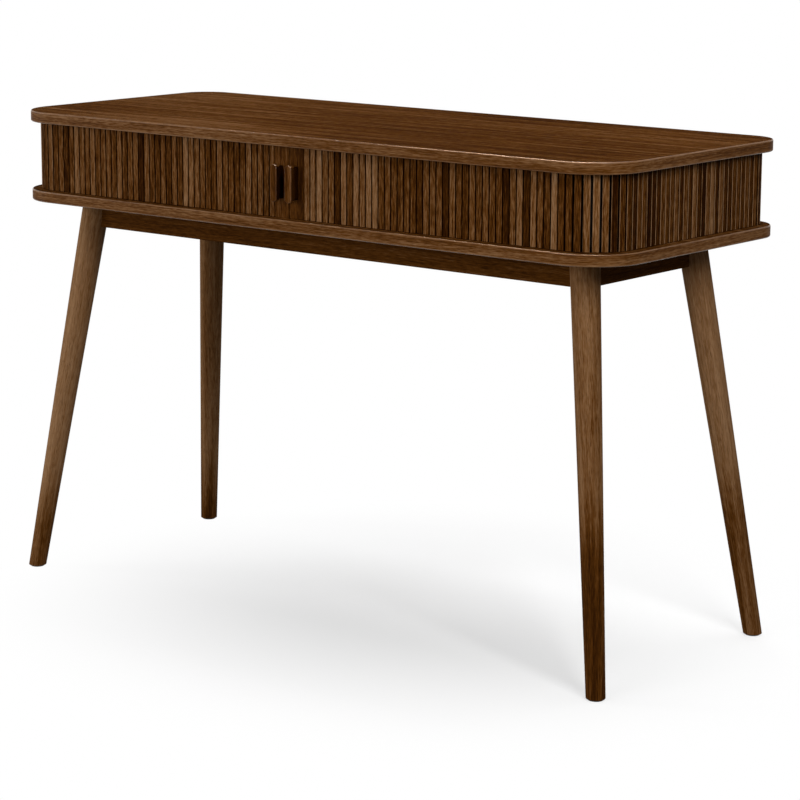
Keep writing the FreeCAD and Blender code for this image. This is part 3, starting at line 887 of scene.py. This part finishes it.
def pull(name, side, sign):
    """A pull: a lip with round ends that overhangs its neck all round."""
    sizes = bpy.context.scene.desk_sizes
    bm = new_mesh()
    half_x = (PULL_HIGH.x - PULL_LOW.x) / 2
    half_z = (PULL_HIGH.z - PULL_LOW.z) / 2
    neck = PULL_HIGH.y - PULL_LOW.y - sizes.pull_lip
    # Just short of a half round, so that an end's two corners don't run into each other
    end_radius = 0.9999 * half_x
    face = round_rectangle(bm, 0, half_x, half_z, end_radius, end_radius, PULL_STEPS)
    push(bm, [face], (0, 0, sizes.pull_lip))
    bmesh.ops.recalc_face_normals(bm, faces=bm.faces)
    back = min(bm.faces, key=lambda item: item.calc_center_median().z)
    bmesh.ops.inset_individual(bm, faces=[back], thickness=sizes.pull_undercut, use_even_offset=True)
    push(bm, [back], (0, 0, -neck))
    rims = []
    for edge in bm.edges:
        on_lip = min(vert.co.z for vert in edge.verts) > -NEAR
        outer = all(stadium_distance(vert.co, half_x, half_z) < NEAR for vert in edge.verts)
        if is_level(edge) and on_lip and outer:
            rims.append(edge)
    round_edges(bm, rims, sizes.pull_round, RIM_STEPS)
    bm.normal_update()
    for face in bm.faces:
        height = face.calc_center_median().z
        # Painted shade on the upright sides, and on the neck under the lip
        shade = PULL_SIDE_PAINTED_SHADE[side] if abs(face.normal.x) > SQUARE_ON else 0.0
        if height < 0:
            shade = PULL_NECK_PAINTED_SHADE
        elif height > 0 and face.normal.z < FACE_ON:
            face.material_index = 1
        lay_grain(bm, [face], lambda co: Vector((co.y, co.x, co.z + PULL_CUTS[side])), shade)
    middle = (PULL_LOW + PULL_HIGH) / 2
    place = Matrix.Translation((sign * middle.x, PULL_HIGH.y - neck, middle.z))
    bmesh.ops.transform(bm, matrix=place @ Matrix.Rotation(math.pi / 2, 4, "X"), verts=bm.verts)
    finishes = ["walnut_stile", "walnut_pull"]
    return finish_piece(bm, name, finishes, [side + "_pull"], side + "_door")


def stadium_distance(co, half_x, half_z):
    """How far a point lies inside an upright bar with round ends."""
    over = max(0.0, abs(co.y) - (half_z - half_x))
    return half_x - math.hypot(co.x, over)


class DESK_OT_doors(bpy.types.Operator):
    """Build the lead stiles and their pulls"""

    bl_idname = "desk.doors"
    bl_label = "Lead stiles and pulls"

    def execute(self, context):
        for side, sign in SIDES.items():
            cut, tone = STILES[side]
            stile = side + "_lead_stile"
            dressed_copy(stile, "walnut_stile", along_z, side + "_door", cut, tone)
            pull(side + "_pull_walnut", side, sign)
        return {"FINISHED"}


# The inner case and the back


class DESK_OT_case(bpy.types.Operator):
    """Dress the back panel, the inner walls and the divider"""

    bl_idname = "desk.case"
    bl_label = "Inner case and back"

    def execute(self, context):
        grains = {
            "back_panel": along_x,
            "inner_rear_wall": along_x,
            "left_inner_wall": along_y,
            "right_inner_wall": along_y,
            "centre_divider": along_y,
        }
        for index, (node, place) in enumerate(grains.items()):
            dressed_copy(node, "walnut_inner", place, cut=CASE_CUT + index)
        return {"FINISHED"}


# Legs and frame


def leg_line(sign_x, sign_y):
    """The two ends of a leg's centre line, at the floor and under the lower panel."""
    sizes = bpy.context.scene.desk_sizes
    foot_x = HALF_WIDTH - sizes.leg_foot_inset_x
    foot_y = HALF_DEPTH - sizes.leg_foot_inset_y
    top_x = HALF_WIDTH - sizes.leg_top_inset_x
    top_y = HALF_DEPTH - sizes.leg_top_inset_y
    foot = Vector((sign_x * foot_x, sign_y * foot_y, 0.0))
    return foot, Vector((sign_x * top_x, sign_y * top_y, SHELF_LOW))


def leg(name, sign_x, sign_y, foot_z):
    """A round tapered leg that leans out both ways, cut level at both ends."""
    sizes = bpy.context.scene.desk_sizes
    foot, top = leg_line(sign_x, sign_y)
    axis = top - foot
    taper = (sizes.leg_top_radius - sizes.leg_foot_radius) / axis.length
    place = Matrix.Translation(foot) @ axis.to_track_quat("Z", "X").to_matrix().to_4x4()
    bm = new_mesh()
    bmesh.ops.create_cone(
        bm, cap_ends=True, segments=LEG_STEPS,
        radius1=sizes.leg_foot_radius - taper * LEG_SPARE,
        radius2=sizes.leg_top_radius + taper * LEG_SPARE,
        depth=axis.length + 2 * LEG_SPARE,
        matrix=place @ Matrix.Translation((0, 0, axis.length / 2)),
    )
    foot_rim = cut_level(bm, foot_z, -1)
    cut_level(bm, SHELF_LOW, 1)
    round_edges(bm, [edge for edge in foot_rim if edge.is_valid], sizes.foot_round, EDGE_STEPS)
    tone, fade_low = LEG_TONES_AND_LIGHT[name]
    split_level(bm, fade_low)
    split_level(bm, fade_low + FOOT_FADE)
    inverse = place.inverted()
    shift = LEG_CUT * Vector((sign_x, sign_y, 1))
    lay_grain(bm, bm.faces, lambda co: along_z(inverse @ co) + shift, tone)
    tone_layer = bm.loops.layers.float["tone"]
    # Painted shade on each leg's lower part, fading out above it
    painted_foot_tone = tone - bpy.context.scene.desk_finish.foot_shade
    for face in bm.faces:
        for loop in face.loops:
            if loop.vert.co.z < fade_low + FOOT_FADE / 2:
                loop[tone_layer] = painted_foot_tone
    return finish_piece(bm, name + "_leg_walnut", ["walnut_leg"], [name + "_leg"])


class DESK_OT_legs(bpy.types.Operator):
    """Build the four legs and finish their glides"""

    bl_idname = "desk.legs"
    bl_label = "Legs"

    def execute(self, context):
        for name, (sign_x, sign_y) in CORNERS.items():
            leg(name, sign_x, sign_y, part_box(name + "_leg")[0].z)
        refinish([name + "_glide" for name in CORNERS], "glide_plastic")
        return {"FINISHED"}


class DESK_OT_rails(bpy.types.Operator):
    """Build the rails under the lower panel and finish their corner blocks"""

    bl_idname = "desk.rails"
    bl_label = "Rails"

    def execute(self, context):
        # The rails reach a little way into the legs, which hide their ends
        reach = 6.0 * MILLIMETRE
        for side, (along, across) in RAIL_CUTS.items():
            node = side + "_apron"
            low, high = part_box(node)
            lengthwise = side in ("front", "rear")
            grow = Vector((reach, 0, 0)) if lengthwise else Vector((0, reach, 0))
            bm = new_mesh()
            add_box(bm, low - grow, high + grow)
            axis = 0 if lengthwise else 1
            long_edges = [
                edge for edge in bm.edges
                if abs(edge.verts[0].co[axis] - edge.verts[1].co[axis]) > reach
            ]
            round_edges(bm, long_edges, context.scene.desk_sizes.rail_round, EDGE_STEPS)
            place = along_x if lengthwise else along_y
            shift = Vector((along, across, 0))
            lay_grain(bm, bm.faces, lambda co, place=place, shift=shift: place(co) + shift)
            finish_piece(bm, node + "_walnut", ["walnut_rail"], [node])
        refinish([name + "_corner_block" for name in CORNERS], "rubberwood")
        return {"FINISHED"}


class DESK_OT_fittings(bpy.types.Operator):
    """Finish the screws, dowels, bolts and pins"""

    bl_idname = "desk.fittings"
    bl_label = "Fittings"

    def execute(self, context):
        refinish(["wall_dowels", "rail_dowels"], "beech")
        screws = ["wall_screws", "block_screws", "left_pull_screws", "right_pull_screws"]
        leg_fasteners = ["hanger_bolts", "hanger_washers", "hanger_nuts"]
        refinish([*screws, *leg_fasteners, "track_stop_pins"], "zinc_steel")
        return {"FINISHED"}


# The stage

# Each lamp's place, the point it is aimed at, its two sizes and its power in watts
LAMPS = {
    "overhead": ((0.0, 0.8, 2.6), (0.0, 0.0, 0.6), (2.0, 1.2), 38.0),
    "glint": ((-0.03, -0.3, 2.6), (-0.03, -0.3, 0.6), (2.15, 0.7), 500.0),
    "front": ((0.1, -3.8, 1.2), (0.0, 0.0, 0.6), (2.2, 1.4), 66.0),
    "left": ((-2.7, -1.6, 0.8), (-0.5, 0.0, 0.4), (1.0, 1.4), 44.0),
    "right": ((2.6, -1.4, 2.2), (0.4, 0.0, 0.6), (1.2, 1.4), 78.0),
}
GLINT_COLOUR = (1.0, 0.76, 0.56)
FLOOR_REACH = 60.0
VIEW_REACH = 300.0


def background_rays(tree):
    """1 for the rays that should meet a white background, else 0."""
    path = tree.nodes.new("ShaderNodeLightPath")
    total = path.outputs["Is Camera Ray"]
    for name in ["Is Glossy Ray", "Is Transmission Ray"]:
        node = tree.nodes.new("ShaderNodeMath")
        node.operation = "MAXIMUM"
        tree.links.new(total, node.inputs[0])
        tree.links.new(path.outputs[name], node.inputs[1])
        total = node.outputs[0]
    return total


def make_world(scene, ambient):
    """White for the camera and for reflections, an even soft light for the rest."""
    world = bpy.data.worlds.new("studio")
    world.use_nodes = True
    scene.world = world
    tree = world.node_tree
    even = tree.nodes["Background"]
    even.inputs["Color"].default_value = (1.0, 1.0, 1.0, 1.0)
    even.inputs["Strength"].default_value = ambient
    white = tree.nodes.new("ShaderNodeBackground")
    white.inputs["Strength"].default_value = 1.0
    white.inputs["Color"].default_value = (1.0, 1.0, 1.0, 1.0)
    blend = tree.nodes.new("ShaderNodeMixShader")
    tree.links.new(background_rays(tree), blend.inputs[0])
    tree.links.new(even.outputs[0], blend.inputs[1])
    tree.links.new(white.outputs[0], blend.inputs[2])
    tree.links.new(blend.outputs[0], tree.nodes["World Output"].inputs["Surface"])


def make_floor(seen_tone, glow_share, bounce):
    """A pale floor that keeps the desk's shadow and fades to white further out."""
    bm = bmesh.new()
    bmesh.ops.create_grid(bm, x_segments=1, y_segments=1, size=FLOOR_REACH)
    mesh = bpy.data.meshes.new("floor")
    bm.to_mesh(mesh)
    bm.free()
    finish = Finish("pale_floor")
    finish.set(base_color=(bounce, bounce, bounce), roughness=1.0, specular_ior_level=0.0)
    pale = finish.add("BsdfDiffuse")
    finish.feed(pale.inputs["Color"], (seen_tone, seen_tone, seen_tone))
    glow = finish.add("Emission")
    finish.feed(glow.inputs["Color"], (1.0, 1.0, 1.0))
    # The shadow fades out over an oval a little to the right of the desk's middle
    centre, stretch = (0.14, 0.0, 0.0), (1.12, 1.21, 0.0)
    fade_start, fade_end = 0.10, 0.90
    distance = finish.add("VectorMath", operation="LENGTH")
    centred = finish.vector("SUBTRACT", finish.place(), centre)
    finish.feed(distance.inputs[0], finish.vector("MULTIPLY", centred, stretch))
    fade = finish.between(distance.outputs["Value"], fade_start, fade_end, glow_share, 1.0)
    white = finish.add("MixShader")
    finish.feed(white.inputs[0], fade)
    finish.feed(white.inputs[1], pale.outputs[0])
    finish.feed(white.inputs[2], glow.outputs[0])
    blend = finish.add("MixShader")
    finish.feed(blend.inputs[0], background_rays(finish.tree))
    finish.feed(blend.inputs[1], finish.shader.outputs[0])
    finish.feed(blend.inputs[2], white.outputs[0])
    finish.feed(finish.tree.nodes["Material Output"].inputs["Surface"], blend.outputs[0])
    mesh.materials.append(finish.material)
    floor = bpy.data.objects.new("floor", mesh)
    bpy.context.scene.collection.objects.link(floor)


def area_lamp(name, place, target, size, power):
    """A soft oblong lamp aimed at a point."""
    light = bpy.data.lights.new(name, "AREA")
    light.shape = "RECTANGLE"
    light.size, light.size_y = size
    light.energy = power
    lamp = bpy.data.objects.new(name, light)
    bpy.context.scene.collection.objects.link(lamp)
    aim = (Vector(target) - Vector(place)).to_track_quat("-Z", "Y")
    lamp.matrix_world = Matrix.Translation(place) @ aim.to_matrix().to_4x4()
    lamp.visible_camera = False
    return lamp


class DESK_OT_stage(bpy.types.Operator):
    """Set up the floor, the lamps, the white background and the camera"""

    bl_idname = "desk.stage"
    bl_label = "Stage"

    def execute(self, context):
        scene = context.scene
        stage = scene.desk_stage
        make_world(scene, stage.ambient)
        make_floor(stage.floor_seen, stage.floor_glow, stage.floor_bounce)
        lamps = {name: area_lamp(name, *setting) for name, setting in LAMPS.items()}
        # The glint only shows as a highlight on the arrises and pulls
        lamps["glint"].data.color = GLINT_COLOUR
        lamps["glint"].visible_diffuse = False
        camera_data = bpy.data.cameras.new("view")
        camera_data.sensor_width = SENSOR_WIDTH
        camera_data.lens = stage.focal_pixels / IMAGE_WIDTH * SENSOR_WIDTH
        camera_data.clip_end = VIEW_REACH
        camera = bpy.data.objects.new("view", camera_data)
        scene.collection.objects.link(camera)
        camera.matrix_world = (
            Matrix.Translation(stage.camera_place)
            @ Matrix.Rotation(stage.camera_yaw, 4, "Z")
            @ Matrix.Rotation(math.pi / 2 + stage.camera_pitch, 4, "X")
            @ Matrix.Rotation(stage.camera_roll, 4, "Z")
        )
        scene.camera = camera
        scene.view_settings.view_transform = "Standard"
        return {"FINISHED"}


# The add-on's panel and its registration


OPERATORS = [
    DESK_OT_top,
    DESK_OT_shelf,
    DESK_OT_curtains,
    DESK_OT_doors,
    DESK_OT_case,
    DESK_OT_legs,
    DESK_OT_rails,
    DESK_OT_fittings,
    DESK_OT_stage,
]


class DESK_PT_build(bpy.types.Panel):
    """Lists the desk's pieces in the sidebar"""

    bl_idname = "DESK_PT_build"
    bl_label = "Tambour desk"
    bl_space_type = "VIEW_3D"
    bl_region_type = "UI"
    bl_category = "Desk"

    def draw(self, context):
        for operator in OPERATORS:
            self.layout.operator(operator.bl_idname)
        for group in [context.scene.desk_sizes, context.scene.desk_finish, context.scene.desk_stage]:
            box = self.layout.box()
            for name in group.__annotations__:
                box.prop(group, name)


GROUPS = {"desk_sizes": DeskSizes, "desk_finish": DeskFinish, "desk_stage": DeskStage}


def register():
    """Make the operators, the panel and the settings known."""
    for name, group in GROUPS.items():
        bpy.utils.register_class(group)
        setattr(bpy.types.Scene, name, bpy.props.PointerProperty(type=group))
    for cls in [*OPERATORS, DESK_PT_build]:
        bpy.utils.register_class(cls)


def unregister():
    """Take them away again."""
    for cls in [*OPERATORS, DESK_PT_build]:
        bpy.utils.unregister_class(cls)
    for name, group in GROUPS.items():
        delattr(bpy.types.Scene, name)
        bpy.utils.unregister_class(group)


def main():
    """Build the desk and its stage."""
    register()
    for operator in OPERATORS:
        group, name = operator.bl_idname.split(".")
        getattr(getattr(bpy.ops, group), name)()


if __name__ == "__main__":
    main()
